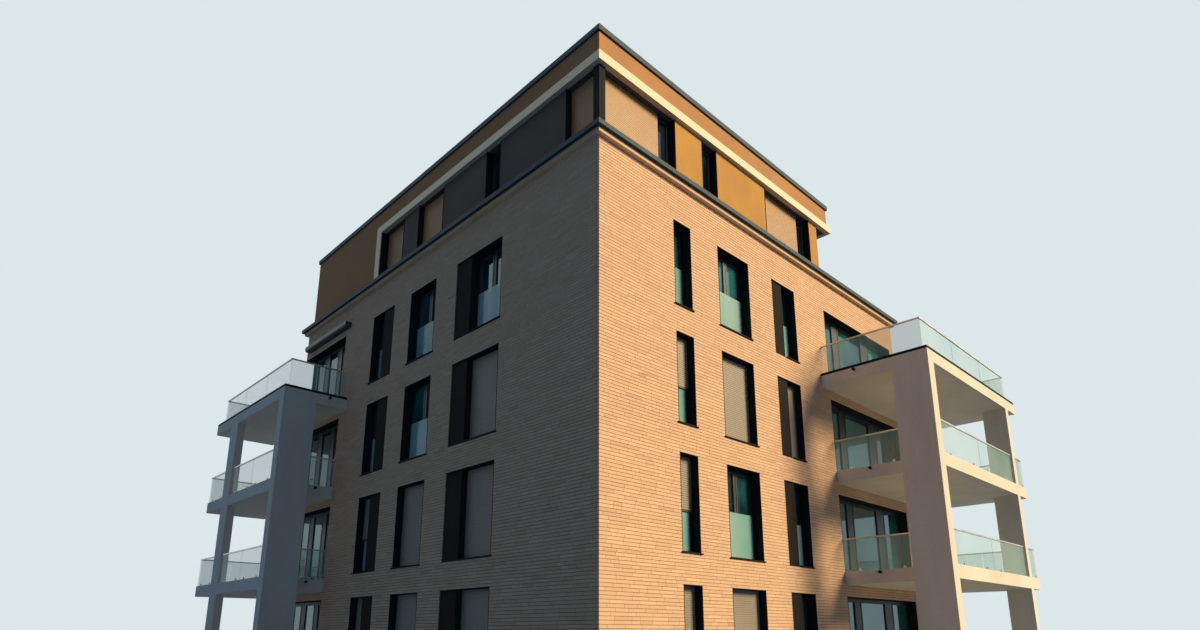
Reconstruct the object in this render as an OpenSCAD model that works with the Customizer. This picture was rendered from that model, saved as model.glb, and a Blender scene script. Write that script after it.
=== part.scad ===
// Apartment block: five brick storeys, a rendered roof storey and two corner balcony towers.
// Millimetres. X runs along the front wall, Y along the left wall, Z up from the ground.

/* [Storeys] */
// Height from one window sill to the next
storey_h = 2950; // [2800:10:3200]
// Height of the ground floor's window sills above the ground
ground_sill = 150; // [100:10:400]
// Height of a French window from its sill to its head
opening_h = 2240; // [2000:10:2400]
// Thickness of the concrete floors
floor_t = 250; // [180:10:320]
// Height of the top of the brickwork above the roof storey's floor
parapet_rise = 290; // [200:10:400]

/* [Plan] */
// Length of the front wall
front_len = 14800; // [13300:10:16500]
// Length of the left wall
left_len = 15650; // [14000:10:17500]
// Thickness of the brick outer walls
wall_t = 420; // [380:10:500]

/* [Front wall openings] */
// Near corner to the narrow window
front_a = 2530; // [1500:10:3000]
// Near corner to the two-sash window
front_b = 4310; // [4000:10:4800]
// Near corner to the window with a facing panel
front_c = 6870; // [6400:10:7300]
// Width of the balcony door
front_door_w = 4660; // [4000:10:4800]
// Brick pier between the balcony door and the far corner
front_door_pier = 300; // [200:10:400]
// Width of the narrow windows
narrow_w = 660; // [550:10:750]
// Width of the two-sash windows
wide_w = 1400; // [1100:10:1600]
// Width of the facing panel beside the front window
front_panel_w = 550; // [300:10:800]

/* [Left wall openings] */
// Near corner to the first window, which has its panel on the far side
left_a = 3530; // [2500:10:3900]
// Near corner to the second window
left_b = 6650; // [6400:10:7000]
// Near corner to the third window, which has its panel on the near side
left_c = 9050; // [8700:10:9500]
// Width of the balcony door with the dark post at the far corner
left_door_w = 3280; // [3000:10:3500]
// Width of the facing panels on the left wall
left_panel_w = 670; // [400:10:800]
// Side of the dark post where the left balcony door meets the far corner
corner_post = 340; // [200:10:400]

/* [Balcony doors] */
// Start of the front door to its first upright
front_leaf_a = 1010; // [800:10:1300]
// First upright's start to the second's on the front door
front_leaf_b = 2010; // [1700:10:2300]
// Width of the front door's first upright
front_post_a = 350; // [200:10:450]
// Width of the front door's second upright
front_post_b = 470; // [250:10:550]
// Start of the left door to its first upright
left_leaf_a = 900; // [700:10:1000]
// First upright's start to the second's on the left door
left_leaf_b = 980; // [800:10:1100]
// Width of the left door's first upright
left_post_a = 240; // [100:10:300]
// Width of the left door's second upright
left_post_b = 290; // [100:10:350]

/* [Windows] */
// Depth from the brick face to a window frame
window_setback = 280; // [200:5:300]
// Depth of a window frame
frame_d = 80; // [60:1:100]
// Width of the fixed frame's face
frame_w = 70; // [40:1:80]
// Width of a sash's face
sash_w = 45; // [40:1:75]
// How far a sash stands out of the fixed frame
sash_proud = 10; // [4:1:16]
// Thickness of the insulating glass
pane_t = 28; // [20:1:44]
// Thickness of the dark metal that lines the window reveals
lining_t = 15; // [8:1:20]
// How far the lining stands out of the brick face
lining_out = 12; // [4:1:20]
// Thickness of the metal window sills
sill_t = 30; // [15:1:40]
// How far a sill stands out of the wall
sill_out = 45; // [30:1:80]
// How far a sill's lip runs past each side of its window
sill_side = 35; // [20:1:80]
// Height of a window's glass balustrade above the sill
balustrade_h = 1150; // [900:10:1250]
// Gap between a window's sill and its balustrade glass
balustrade_gap = 60; // [30:5:120]
// Thickness of balustrade and rail glass
rail_glass_t = 17; // [12:1:22]
// Depth from the brick face to a roller shutter
shutter_setback = 205; // [180:5:215]
// Thickness of a roller shutter's curtain
shutter_t = 18; // [10:1:24]
// Opening that a half lowered shutter leaves above the sill
shutter_half = 950; // [700:10:1200]
// Depth from the brick face to a facing panel
panel_setback = 25; // [5:1:60]

/* [Cornice] */
// Height of the pale strip on top of the brickwork
strip_h = 110; // [60:5:140]
// How far the pale strip stands out of the brickwork
strip_out = 130; // [80:5:160]
// Height of the metal coping above it
coping_h = 125; // [80:5:220]
// How far the coping stands out of the brickwork
coping_out = 220; // [165:5:260]

/* [Roof storey] */
// Depth from the brick face to the roof storey's wall panels
roof_wall_setback = 120; // [60:10:200]
// Thickness of the roof storey's walls
roof_wall_t = 300; // [240:10:300]
// Depth from the wall panels' face to the roof storey's window frames
roof_window_setback = 210; // [190:5:215]
// Gap between the roof storey's shutters and their window frames
roof_shutter_gap = 8; // [4:1:20]
// Length of the roof storey's front wall, measured from the near corner
roof_front_len = 10050; // [9700:10:11200]
// Distance that the roof ends before the back wall's face
roof_back_gap = 250; // [100:10:400]
// Height of the overhang's underside above the coping
roof_window_h = 1875; // [1600:5:2200]
// Height of the cream band
band_h = 250; // [180:10:320]
// Height of the rendered fascia over the band
fascia_h = 550; // [400:10:700]
// How far the cream band runs past the front wall panels at the open end
band_over = 760; // [600:10:900]
// How far the fascia ends short of the cream band
fascia_short = 190; // [100:10:300]
// Depth from the cream band's face to the fascia's face
fascia_setback = 30; // [10:5:60]
// Thickness of the cream band and of the fascia
band_t = 150; // [120:5:200]
// Height of the fascia's edge above the roof covering
roof_edge_h = 150; // [80:10:300]
// Height of the roof coping
roof_coping_h = 150; // [80:10:200]
// How far the roof coping stands out of the fascia
roof_coping_out = 50; // [30:5:120]
// Where the cream band turns down the left wall, from the near corner
band_turn = 10420; // [10300:10:10600]
// Width of the cream band's upright piece
band_turn_w = 280; // [200:10:400]
// Side of the dark post at the roof storey's near corner
roof_post = 200; // [150:10:260]

/* [Roof storey windows] */
// Width of the front's wide windows
roof_f_wide_w = 2540; // [2300:10:2600]
// Near corner to the front's narrow window
roof_f_b = 3980; // [3400:10:4400]
// Width of the roof storey's narrow windows
roof_narrow_w = 650; // [500:10:800]
// Wall beyond the front's far window
roof_f_end = 500; // [350:10:800]
// Share of a wide front window that its shutter covers
roof_shutter_share = 0.815; // [0.5:0.005:1]
// Width of the left side's corner window
roof_l_corner_w = 965; // [800:5:1200]
// Near corner to the left side's narrow window
roof_l_b = 3940; // [3400:10:4400]
// Near corner to the left side's third window
roof_l_c = 6740; // [6200:10:7000]
// Width of the left side's third window
roof_l_c_w = 1430; // [1200:10:1600]
// Width of the left side's last window, beside the cream upright
roof_l_end_w = 1360; // [1200:10:1500]
// Near corner to the first door of the terrace side
roof_r_a = 1600; // [1200:10:2000]
// Near corner to the window of the terrace side
roof_r_b = 6200; // [5600:10:6800]
// Last door of the terrace side to the back wall's face
roof_r_end = 2950; // [2400:10:3400]
// Width of the terrace side's doors
roof_door_w = 2500; // [2200:10:2800]
// Near corner to the first window of the roof storey's back
roof_b_a = 1200; // [900:10:1500]
// Near corner to the wide window of the roof storey's back
roof_b_b = 3600; // [3000:10:4000]
// Last window of the roof storey's back to the end of the front wall
roof_b_end = 2400; // [1800:10:2600]
// Narrowest roof window that has two sashes
roof_two_sash_w = 1000; // [900:10:1200]

/* [Front balcony tower] */
// Length of the tower along the front wall
tower_f_len = 7250; // [6600:10:7900]
// How far the tower runs past the front wall's far corner
tower_f_over = 1800; // [1500:10:2200]
// How far the tower stands out of the front wall
tower_f_out = 3150; // [2800:10:3600]
// Length of the far pier along the front
far_pier_f_len = 250; // [200:10:400]
// Depth of the far pier
far_pier_f_depth = 710; // [500:10:1000]
// Far end of the tower to the far pier
far_pier_f_in = 720; // [500:10:900]

/* [Left balcony tower] */
// Length of the tower along the left wall
tower_l_len = 6340; // [5900:10:6900]
// How far the tower runs past the left wall's far corner
tower_l_over = 2550; // [2200:10:2900]
// How far the tower stands out of the left wall
tower_l_out = 2010; // [1700:10:2400]
// Length of the far pier along the tower's face
far_pier_l_len = 670; // [400:10:900]
// Depth of the far pier
far_pier_l_depth = 250; // [200:10:400]
// Far end of the tower to the far pier
far_pier_l_in = 1580; // [1200:10:1800]
// How much lower the left tower's floors lie than the front tower's
tower_l_drop = 100; // [0:10:140]

/* [Balcony parts] */
// Length of the near piers along the wall
near_pier_len = 370; // [300:10:450]
// Depth of the near piers
near_pier_depth = 1000; // [800:10:1200]
// Thickness of the balcony floors
balcony_t = 360; // [300:10:400]
// Thickness of the tower's roof slab, which carries the top terrace
balcony_top_t = 330; // [300:10:400]
// Thickness of the terrace's paving
paving_t = 80; // [40:5:100]
// How far the balcony floors lie below the window sills
balcony_step = 10; // [0:5:40]
// Gap between a near pier and the side of the balcony floors
pier_gap = 110; // [60:5:160]
// Height of the glass in a balcony rail
rail_glass_h = 900; // [800:10:1000]
// Height and depth of the handrail on the glass
handrail = 40; // [30:1:60]
// Distance from a floor's edge to its rail
rail_in = 30; // [20:5:60]
// Distance from the terrace's edge to its rail
top_rail_in = 190; // [120:5:260]
// Open end of a rail before the far pier
rail_end_gap = 190; // [50:10:300]
// Width of the dark metal trim round the terrace's paving
trim_w = 70; // [50:5:100]
// Diameter of the overflow spouts
spout_d = 80; // [50:5:110]
// Length of the overflow spouts
spout_l = 70; // [40:5:120]
// Thickness of a spout's wall
spout_wall = 6; // [3:1:10]
// Depth of a spout's middle under the top of its slab
spout_down = 70; // [60:5:200]
// Distance from the front wall to the front tower's spouts
spout_f_out = 1050; // [300:10:1900]
// Distance from the left wall to the left tower's spouts
spout_l_out = 580; // [300:10:900]

/* [Awning] */
// Awning's case to the far corner of the left wall
awning_end = 290; // [100:10:500]
// Length of the awning's case
awning_len = 3310; // [2500:10:3500]
// How far the case stands out of the wall
awning_out = 220; // [150:5:260]
// Height of the case
awning_h = 175; // [120:5:320]
// Radius of the case's lower front edge
awning_round = 90; // [20:5:110]
// Height of the case's underside above the door's head
awning_up = 215; // [20:5:260]

/* [Hidden] */

$fn = 48;
storeys = 5;
top_storey = storeys - 1;
// Open joint between lengths of coping, rail and trim
joint = 2;
// Open joint between two panes of a balcony rail
pane_joint = 20;
// How far a cutting shape runs past the faces that it cuts
cut = 10;
// How far an upright stands before the glass that it holds
upright_lip = 5;

// Ends of the towers, measured from the near corner
tower_f_end = front_len + tower_f_over;
tower_f_start = tower_f_end - tower_f_len;
tower_l_end = left_len + tower_l_over;
tower_l_start = tower_l_end - tower_l_len;

// Origin: the middle of the ground plan's box, on the ground
plan_x0 = -tower_l_out;
plan_x1 = tower_f_end;
plan_y0 = -tower_f_out;
plan_y1 = tower_l_end;
origin = [(plan_x0 + plan_x1) / 2, (plan_y0 + plan_y1) / 2, 0];

// Heights
function sill_z(k) = ground_sill + k * storey_h;
function head_z(k) = sill_z(k) + opening_h;
roof_floor_z = sill_z(storeys);
brick_top = roof_floor_z + parapet_rise;
coping_top = brick_top + strip_h + coping_h;
soffit_z = coping_top + roof_window_h;
band_top = soffit_z + band_h;
fascia_top = band_top + fascia_h;
roof_top = fascia_top + roof_coping_h;

// Starts of the balcony doors
front_d = front_len - front_door_pier - front_door_w;
left_d = left_len - left_door_w;
roof_left_len = left_len - roof_back_gap;

// A column of openings: [start, panel before, window width, panel after, sashes]
front_windows = [
    [front_a, 0, narrow_w, 0, 1],
    [front_b, 0, wide_w, 0, 2],
    [front_c, front_panel_w, narrow_w, 0, 1]];
left_windows = [
    [left_a, 0, wide_w, left_panel_w, 2],
    [left_b, 0, wide_w, 0, 2],
    [left_c, left_panel_w, narrow_w, 0, 1]];
// Where the balcony doors are, the unseen walls have one more window
back_windows = concat(front_windows, [[front_d, 0, wide_w, 0, 2]]);
right_windows = concat(left_windows, [[left_d, 0, wide_w, 0, 2]]);
front_door = [front_d, 0, front_door_w, 0, 3];
corner_in = window_setback + corner_post;
left_door = [left_d, 0, left_door_w, 0, 3];
back_notch = [front_len - corner_in, 0, corner_in, 0, 0];

// Opening left under each shutter, from the ground floor up
shut = 0;
front_shutters = [
    [opening_h, shut, shutter_half, shutter_half, opening_h],
    [opening_h, shut, opening_h, shut, opening_h],
    [opening_h, opening_h, opening_h, shut, opening_h]];
left_shutters = [
    [opening_h, shut, shut, shut, opening_h],
    [opening_h, shut, shut, opening_h, opening_h],
    [opening_h, shutter_half, shutter_half, opening_h, opening_h]];
extra_shutters = [[opening_h, opening_h, shutter_half, opening_h, shut]];

// Uprights between a balcony door's leaves: [distance from the door's start, width]
front_door_posts = [[front_leaf_a, front_post_a], [front_leaf_a + front_leaf_b, front_post_b]];
left_door_posts = [[left_leaf_a, left_post_a], [left_leaf_a + left_leaf_b, left_post_b]];

// Windows of the roof storey: [start, end, share that a shutter covers, depth at which the lining
// begins at its start, and at its end, or 0 where a post takes its place]
roof_lining = roof_wall_setback - lining_out;
roof_wall_in = roof_wall_setback + roof_wall_t;
roof_corner = roof_wall_setback + roof_post;
roof_f_far = roof_front_len - roof_f_end;
roof_front_windows = [
    [roof_corner, roof_corner + roof_f_wide_w, roof_shutter_share, 0, roof_lining],
    [roof_f_b, roof_f_b + roof_narrow_w, 0, roof_lining, roof_lining],
    [roof_f_far - roof_f_wide_w, roof_f_far, roof_shutter_share, roof_lining, roof_lining]];
roof_left_windows = [
    [roof_corner, roof_corner + roof_l_corner_w, 1, 0, roof_lining],
    [roof_l_b, roof_l_b + roof_narrow_w, 0, roof_lining, roof_lining],
    [roof_l_c, roof_l_c + roof_l_c_w, 1, roof_lining, roof_lining],
    [band_turn - roof_l_end_w, band_turn, 1, roof_lining, fascia_setback]];
roof_r_far = left_len - roof_r_end;
roof_right_windows = [
    [roof_r_a, roof_r_a + roof_door_w, 0, roof_lining, roof_lining],
    [roof_r_b, roof_r_b + wide_w, 0, roof_lining, roof_lining],
    [roof_r_far - roof_door_w, roof_r_far, 0, roof_lining, roof_lining]];
roof_b_far = roof_front_len - roof_b_end;
roof_back_windows = [
    [roof_b_a, roof_b_a + roof_narrow_w, 0, roof_lining, roof_lining],
    [roof_b_b, roof_b_b + wide_w, 0, roof_lining, roof_lining],
    [roof_b_far - roof_narrow_w, roof_b_far, 0, roof_lining, roof_lining]];
roof_frame_in = roof_wall_setback + roof_window_setback;

function opening_w(c) = c[1] + c[2] + c[3];
function glass_start(c) = c[0] + c[1];

// Walls: the children are drawn along X, with Y going into the wall
module placed() translate(-origin) children();
module on_front() placed() children();
module on_left() placed() mirror([1, -1, 0]) children();
module on_back() placed() translate([front_len, left_len, 0]) rotate(180) children();
module on_right() placed() translate([front_len, left_len, 0]) rotate(180) mirror([1, -1, 0]) children();

// Box from its low corner to its high corner
module box(low, high) translate(low) cube(high - low);

// Horizontal brick bands between the window rows
module wall_bands(from, to) {
    for (k = [0:storeys]) {
        low = k == 0 ? 0 : head_z(k - 1);
        high = k == storeys ? brick_top : sill_z(k) - sill_t;
        box([from, 0, low], [to, wall_t, high]);
    }
}

// Brick piers that stand between the openings of one window row
module wall_piers(from, to, columns) {
    starts = concat([from], [for (c = columns) c[0] + opening_w(c)]);
    ends = concat([for (c = columns) c[0]], [to]);
    for (k = [0:top_storey], i = [0:len(starts) - 1])
        if (ends[i] > starts[i])
            box([starts[i], 0, sill_z(k) - sill_t], [ends[i], wall_t, head_z(k)]);
}

// One window frame with its sashes; posts are the uprights between the leaves
module window_frame(width, height, posts) {
    starts = concat([frame_w], [for (p = posts) p[0] + p[1]]);
    ends = concat([for (p = posts) p[0]], [width - frame_w]);
    difference() {
        union() {
            cube([width, frame_d, height]);
            for (i = [0:len(starts) - 1])
                box([starts[i], -sash_proud, frame_w], [ends[i], frame_d / 2, height - frame_w]);
        }
        for (i = [0:len(starts) - 1])
            box([starts[i] + sash_w, -frame_d, frame_w + sash_w],
                [ends[i] - sash_w, 2 * frame_d, height - frame_w - sash_w]);
    }
}

// The panes that fill such a frame
module window_panes(width, height, posts) {
    starts = concat([frame_w], [for (p = posts) p[0] + p[1]]);
    ends = concat([for (p = posts) p[0]], [width - frame_w]);
    pane_y = (frame_d - pane_t) / 2;
    for (i = [0:len(starts) - 1])
        box([starts[i] + sash_w, pane_y, frame_w + sash_w],
            [ends[i] - sash_w, pane_y + pane_t, height - frame_w - sash_w]);
}

// Uprights that part a window into equal sashes
function even_posts(width, sashes) =
    [for (i = [1:1:sashes - 1]) [width * i / sashes - frame_w / 2, frame_w]];

// The children are drawn once for every storey, at the sill
module each_storey() for (k = [0:top_storey]) translate([0, 0, sill_z(k)]) children();

module column_frames(columns)
    for (c = columns) each_storey()
        translate([glass_start(c), window_setback, 0]) window_frame(c[2], opening_h, even_posts(c[2], c[4]));

module column_panes(columns)
    for (c = columns) each_storey()
        translate([glass_start(c), window_setback, 0]) window_panes(c[2], opening_h, even_posts(c[2], c[4]));

module door_frames(start, width, posts)
    each_storey() translate([start, window_setback, 0]) window_frame(width, opening_h, posts);

module door_panes(start, width, posts)
    each_storey() translate([start, window_setback, 0]) window_panes(width, opening_h, posts);

// Space between a window's linings; a facing panel takes the lining's place at its side
function clear_start(c) = glass_start(c) + (c[1] > 0 ? 0 : lining_t);
function clear_end(c) = glass_start(c) + c[2] - (c[3] > 0 ? 0 : lining_t);
clear_h = opening_h - lining_t;

module column_panels(columns)
    for (c = columns) each_storey() {
        if (c[1] > 0)
            box([c[0], panel_setback, -sill_t], [c[0] + c[1], window_setback + frame_d, clear_h]);
        if (c[3] > 0)
            box([glass_start(c) + c[2], panel_setback, -sill_t],
                [c[0] + opening_w(c), window_setback + frame_d, clear_h]);
    }

// Folded lining of one opening: its head, and a jamb at each end that has one
module linings(from, to, at_start, at_end) each_storey() difference() {
    box([from, -lining_out, 0], [to, window_setback, opening_h]);
    box([from + (at_start ? lining_t : -cut), -lining_out - cut, -cut],
        [to - (at_end ? lining_t : -cut), window_setback + cut, clear_h]);
}

module column_linings(columns) {
    for (c = columns) linings(c[0], c[0] + opening_w(c), c[1] == 0, c[3] == 0);
    column_uprights(columns);
}

// A sill's lip runs past its window where brick stands beside it, and stops at a facing panel
module column_sills(columns)
    for (c = columns) each_storey() {
        start = glass_start(c);
        end = start + c[2];
        box([start, 0, -sill_t], [end, window_setback + frame_d, 0]);
        box([start - (c[1] > 0 ? 0 : sill_side), -sill_out, -sill_t],
            [end + (c[3] > 0 ? 0 : sill_side), 0, 0]);
    }

// Threshold under a balcony door
module threshold(from, to) each_storey() box([from, 0, -sill_t], [to, window_setback + frame_d, 0]);

// The balustrade glass stands halfway between the shutter and the sashes
balustrade_face = (shutter_setback + shutter_t + window_setback - sash_proud - rail_glass_t) / 2;
module column_balustrades(columns)
    for (c = columns) each_storey()
        box([glass_start(c) + frame_w, balustrade_face, balustrade_gap],
            [glass_start(c) + c[2] - frame_w, balustrade_face + rail_glass_t, balustrade_h]);

// Uprights on the window's fixed frame that hold this glass, joined to the lining where there is one
module column_uprights(columns)
    for (c = columns) each_storey() {
        low = balustrade_face - upright_lip;
        box([glass_start(c), low, 0], [glass_start(c) + frame_w, window_setback, balustrade_h]);
        box([glass_start(c) + c[2] - frame_w, low, 0], [glass_start(c) + c[2], window_setback, balustrade_h]);
    }

module column_shutters(columns, gaps)
    for (i = [0:len(columns) - 1], k = [0:top_storey])
        if (gaps[i][k] < opening_h)
            translate([0, shutter_setback, sill_z(k)])
                box([clear_start(columns[i]), 0, gaps[i][k]], [clear_end(columns[i]), shutter_t, clear_h]);

// Four straight lengths round a rectangle, with an open joint at each corner
module frame_of_lengths(low, high, width, z0, z1) {
    box([low[0], low[1], z0], [high[0], low[1] + width, z1]);
    box([low[0], high[1] - width, z0], [high[0], high[1], z1]);
    box([low[0], low[1] + width + joint, z0], [low[0] + width, high[1] - width - joint, z1]);
    box([high[0] - width, low[1] + width + joint, z0], [high[0], high[1] - width - joint, z1]);
}

// Lengths along the top of the brickwork: up to the roof storey's walls where they stand
// behind, and over the whole parapet round the roof terrace
module parapet_lengths(out, z0, z1) {
    back_in = left_len - wall_t;
    right_in = front_len - wall_t;
    box([-out, -out, z0], [roof_front_len, roof_wall_setback, z1]);
    box([roof_front_len + joint, -out, z0], [front_len + out, wall_t, z1]);
    box([-out, roof_wall_setback + joint, z0], [roof_wall_setback, back_in - joint, z1]);
    box([-out, back_in, z0], [front_len + out, left_len + out, z1]);
    box([right_in, wall_t + joint, z0], [front_len + out, back_in - joint, z1]);
}

// Floors

module ground_slab() color("gainsboro") placed()
    box([wall_t, wall_t, 0], [front_len - wall_t, left_len - wall_t, ground_sill - sill_t]);

module floor_slabs() color("gainsboro") placed()
    for (k = [1:storeys])
        box([wall_t, wall_t, sill_z(k) - sill_t - floor_t],
            [front_len - wall_t, left_len - wall_t, sill_z(k) - sill_t]);

// Brick walls

module front_wall_bands() color("tan") on_front() wall_bands(0, front_len);
module front_wall_piers() color("tan") on_front()
    wall_piers(0, front_len, concat(front_windows, [front_door]));
module left_wall_bands() color("tan") on_left() wall_bands(wall_t, left_len - wall_t);
module left_wall_piers() color("tan") on_left()
    wall_piers(wall_t, left_len - wall_t, concat(left_windows, [left_door]));
module back_wall_bands() color("tan") on_back() wall_bands(0, front_len);
module back_wall_piers() color("tan") on_back()
    wall_piers(0, front_len, concat(back_windows, [back_notch]));
module right_wall_bands() color("tan") on_right() wall_bands(wall_t, left_len - wall_t);
module right_wall_piers() color("tan") on_right()
    wall_piers(wall_t, left_len - wall_t, right_windows);

// Top edge of the brickwork

module cornice_strip() color("seashell") placed()
    parapet_lengths(strip_out, brick_top, brick_top + strip_h);

module parapet_coping() color("slategray") placed()
    parapet_lengths(coping_out, brick_top + strip_h, coping_top);

// Windows

module facing_panels() color("dimgray") {
    on_front() column_panels(front_windows);
    on_left() column_panels(left_windows);
    on_back() column_panels(back_windows);
    on_right() column_panels(right_windows);
}

module window_sills() color("darkslategray") {
    on_front() {
        column_sills(front_windows);
        threshold(front_d, front_d + front_door_w);
    }
    on_left() {
        column_sills(left_windows);
        threshold(left_d, left_len - corner_post);
    }
    on_back() column_sills(back_windows);
    on_right() column_sills(right_windows);
}

// Dark metal sheets inside the reveals
module window_linings() color("darkslategray") {
    on_front() {
        column_linings(front_windows);
        linings(front_d, front_d + front_door_w, true, true);
    }
    on_left() {
        column_linings(left_windows);
        linings(left_d, left_len, true, false);
    }
    on_back() column_linings(back_windows);
    on_right() column_linings(right_windows);
    on_front() roof_linings(coping_top, roof_front_windows);
    on_left() roof_linings(coping_top, roof_left_windows);
    on_roof_right() roof_linings(roof_slab_top, roof_right_windows);
    on_roof_back() roof_linings(coping_top, roof_back_windows);
}

module front_window_frames() color("darkslategray") on_front() {
    column_frames(front_windows);
    door_frames(front_d, front_door_w, front_door_posts);
}

module front_window_glass() color("lightblue", 0.5) on_front() {
    column_panes(front_windows);
    door_panes(front_d, front_door_w, front_door_posts);
}

module left_window_frames() color("darkslategray") on_left() {
    column_frames(left_windows);
    door_frames(left_d, left_door_w - corner_post, left_door_posts);
}

module left_window_glass() color("lightblue", 0.5) on_left() {
    column_panes(left_windows);
    door_panes(left_d, left_door_w - corner_post, left_door_posts);
}

module rear_window_frames() color("darkslategray") {
    on_back() column_frames(back_windows);
    on_right() column_frames(right_windows);
}

module rear_window_glass() color("lightblue", 0.5) {
    on_back() column_panes(back_windows);
    on_right() column_panes(right_windows);
}

module window_balustrades() color("paleturquoise", 0.5) {
    on_front() column_balustrades(front_windows);
    on_left() column_balustrades(left_windows);
    on_back() column_balustrades(back_windows);
    on_right() column_balustrades(right_windows);
}

module roller_shutters() color("rosybrown") {
    on_front() column_shutters(front_windows, front_shutters);
    on_left() column_shutters(left_windows, left_shutters);
}

module rear_roller_shutters() color("rosybrown") {
    on_back() column_shutters(back_windows, concat(front_shutters, extra_shutters));
    on_right() column_shutters(right_windows, concat(left_shutters, extra_shutters));
}

// Dark posts: at the far corner beside the left balcony doors, and at the roof storey's corner
module corner_posts() color("darkslategray") {
    on_left() each_storey()
        box([left_len - corner_post, window_setback, -sill_t], [left_len, corner_in, opening_h]);
    placed() box([roof_wall_setback, roof_wall_setback, coping_top], [roof_corner, roof_corner, soffit_z]);
}

// Roof storey

// Wall panels that stand between the windows of one side of the roof storey
module roof_panels(from, to, low, windows) {
    starts = concat([from], [for (w = windows) w[1]]);
    ends = concat([for (w = windows) w[0]], [to]);
    for (i = [0:len(starts) - 1])
        if (ends[i] > starts[i])
            box([starts[i], roof_wall_setback, low], [ends[i], roof_wall_in, soffit_z]);
}

// A wide window of the roof storey has two sashes
function roof_posts(w) = let (width = w[1] - w[0]) even_posts(width, width < roof_two_sash_w ? 1 : 2);

module roof_frames(low, windows)
    for (w = windows) translate([w[0], roof_frame_in, low])
        window_frame(w[1] - w[0], soffit_z - low, roof_posts(w));

module roof_panes(low, windows)
    for (w = windows) translate([w[0], roof_frame_in, low])
        window_panes(w[1] - w[0], soffit_z - low, roof_posts(w));

module roof_curtains(windows)
    for (w = windows)
        if (w[2] > 0) {
            face = roof_frame_in - sash_proud - roof_shutter_gap;
            start = w[0] + (w[3] > 0 ? lining_t : 0);
            end = w[1] - (w[4] > 0 ? lining_t : 0);
            box([start, face - shutter_t, coping_top], [start + (end - start) * w[2], face, soffit_z]);
        }

// Side linings of the roof storey's windows
module roof_linings(low, windows)
    for (w = windows) {
        if (w[3] > 0) box([w[0], w[3], low], [w[0] + lining_t, roof_frame_in - sash_proud, soffit_z]);
        if (w[4] > 0) box([w[1] - lining_t, w[4], low], [w[1], roof_frame_in - sash_proud, soffit_z]);
    }

// The terrace side and the back of the roof storey, as walls drawn along X
module on_roof_right() placed() translate([roof_front_len + roof_wall_setback, 0, 0])
    mirror([1, 0, 0]) mirror([1, -1, 0]) children();
module on_roof_back() placed() translate([0, left_len - wall_t + roof_wall_setback, 0])
    mirror([0, 1, 0]) children();

roof_slab_top = roof_floor_z - sill_t;
roof_right_in = roof_front_len - roof_wall_t;

// Low walls that the roof storey's panels stand on
module roof_storey_base() color("saddlebrown") placed() {
    back_out = left_len - wall_t;
    box([roof_wall_setback, roof_wall_setback, brick_top], [roof_front_len, roof_wall_in, coping_top]);
    box([roof_wall_setback, roof_wall_in + joint, brick_top], [roof_wall_in, back_out, coping_top]);
    box([wall_t + joint, back_out - roof_wall_t, roof_slab_top], [roof_right_in - joint, back_out, coping_top]);
}

module roof_storey_front_wall() color("peru") on_front()
    roof_panels(roof_corner, roof_front_len, coping_top, roof_front_windows);
module roof_storey_left_wall() color("peru") on_left()
    roof_panels(roof_corner, band_turn, coping_top, roof_left_windows);
module roof_storey_back_wall() color("peru") on_roof_back()
    roof_panels(roof_wall_in, roof_right_in, coping_top, roof_back_windows);
module roof_storey_right_wall() color("peru") on_roof_right()
    roof_panels(roof_wall_in, left_len - wall_t, roof_slab_top, roof_right_windows);

module roof_window_frames() color("darkslategray") {
    on_front() roof_frames(coping_top, roof_front_windows);
    on_left() roof_frames(coping_top, roof_left_windows);
    on_roof_right() roof_frames(roof_slab_top, roof_right_windows);
    on_roof_back() roof_frames(coping_top, roof_back_windows);
}

module roof_window_glass() color("lightblue", 0.5) {
    on_front() roof_panes(coping_top, roof_front_windows);
    on_left() roof_panes(coping_top, roof_left_windows);
    on_roof_right() roof_panes(roof_slab_top, roof_right_windows);
    on_roof_back() roof_panes(coping_top, roof_back_windows);
}

module roof_shutters() color("burlywood") {
    on_front() roof_curtains(roof_front_windows);
    on_left() roof_curtains(roof_left_windows);
}

// Rendered cheek that closes the far part of the left side, in the fascia's plane
band_turn_end = band_turn + band_turn_w;
module roof_side_cheek() color("peru") on_left()
    box([band_turn_end, fascia_setback, coping_top], [roof_left_len, roof_wall_in, soffit_z]);

band_end = roof_front_len + band_over;
fascia_end = band_end - fascia_short;

module roof_slab() color("antiquewhite") placed()
    box([band_t, band_t, soffit_z], [band_end - band_t, roof_left_len - band_t, band_top]);

module cream_band() color("ivory") placed() {
    box([0, 0, soffit_z], [band_end, band_t, band_top]);
    box([0, band_t + joint, soffit_z], [band_t, band_turn_end, band_top]);
    box([band_end - band_t, band_t + joint, soffit_z], [band_end, roof_left_len, band_top]);
    box([band_t + joint, roof_left_len - band_t, soffit_z], [band_end - band_t - joint, roof_left_len, band_top]);
    box([0, band_turn, coping_top], [roof_wall_in, band_turn_end, soffit_z - joint]);
}

module roof_fascia() color("peru") placed() {
    frame_of_lengths([fascia_setback, fascia_setback], [fascia_end, roof_left_len], band_t, band_top, fascia_top);
    box([fascia_setback, band_turn_end + joint, soffit_z], [band_t, roof_left_len, band_top - joint]);
}

module roof_coping() color("slategray") placed()
    frame_of_lengths([fascia_setback - roof_coping_out, fascia_setback - roof_coping_out],
        [fascia_end + roof_coping_out, roof_left_len + roof_coping_out],
        band_t + 2 * roof_coping_out, fascia_top, roof_top);

// Insulated roof covering inside the fascia
module roof_deck() color("gray") placed()
    box([fascia_setback + band_t, fascia_setback + band_t, band_top],
        [fascia_end - band_t, roof_left_len - band_t, fascia_top - roof_edge_h]);

// Balcony towers: the children are drawn along the wall, with Y going into the wall

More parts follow.
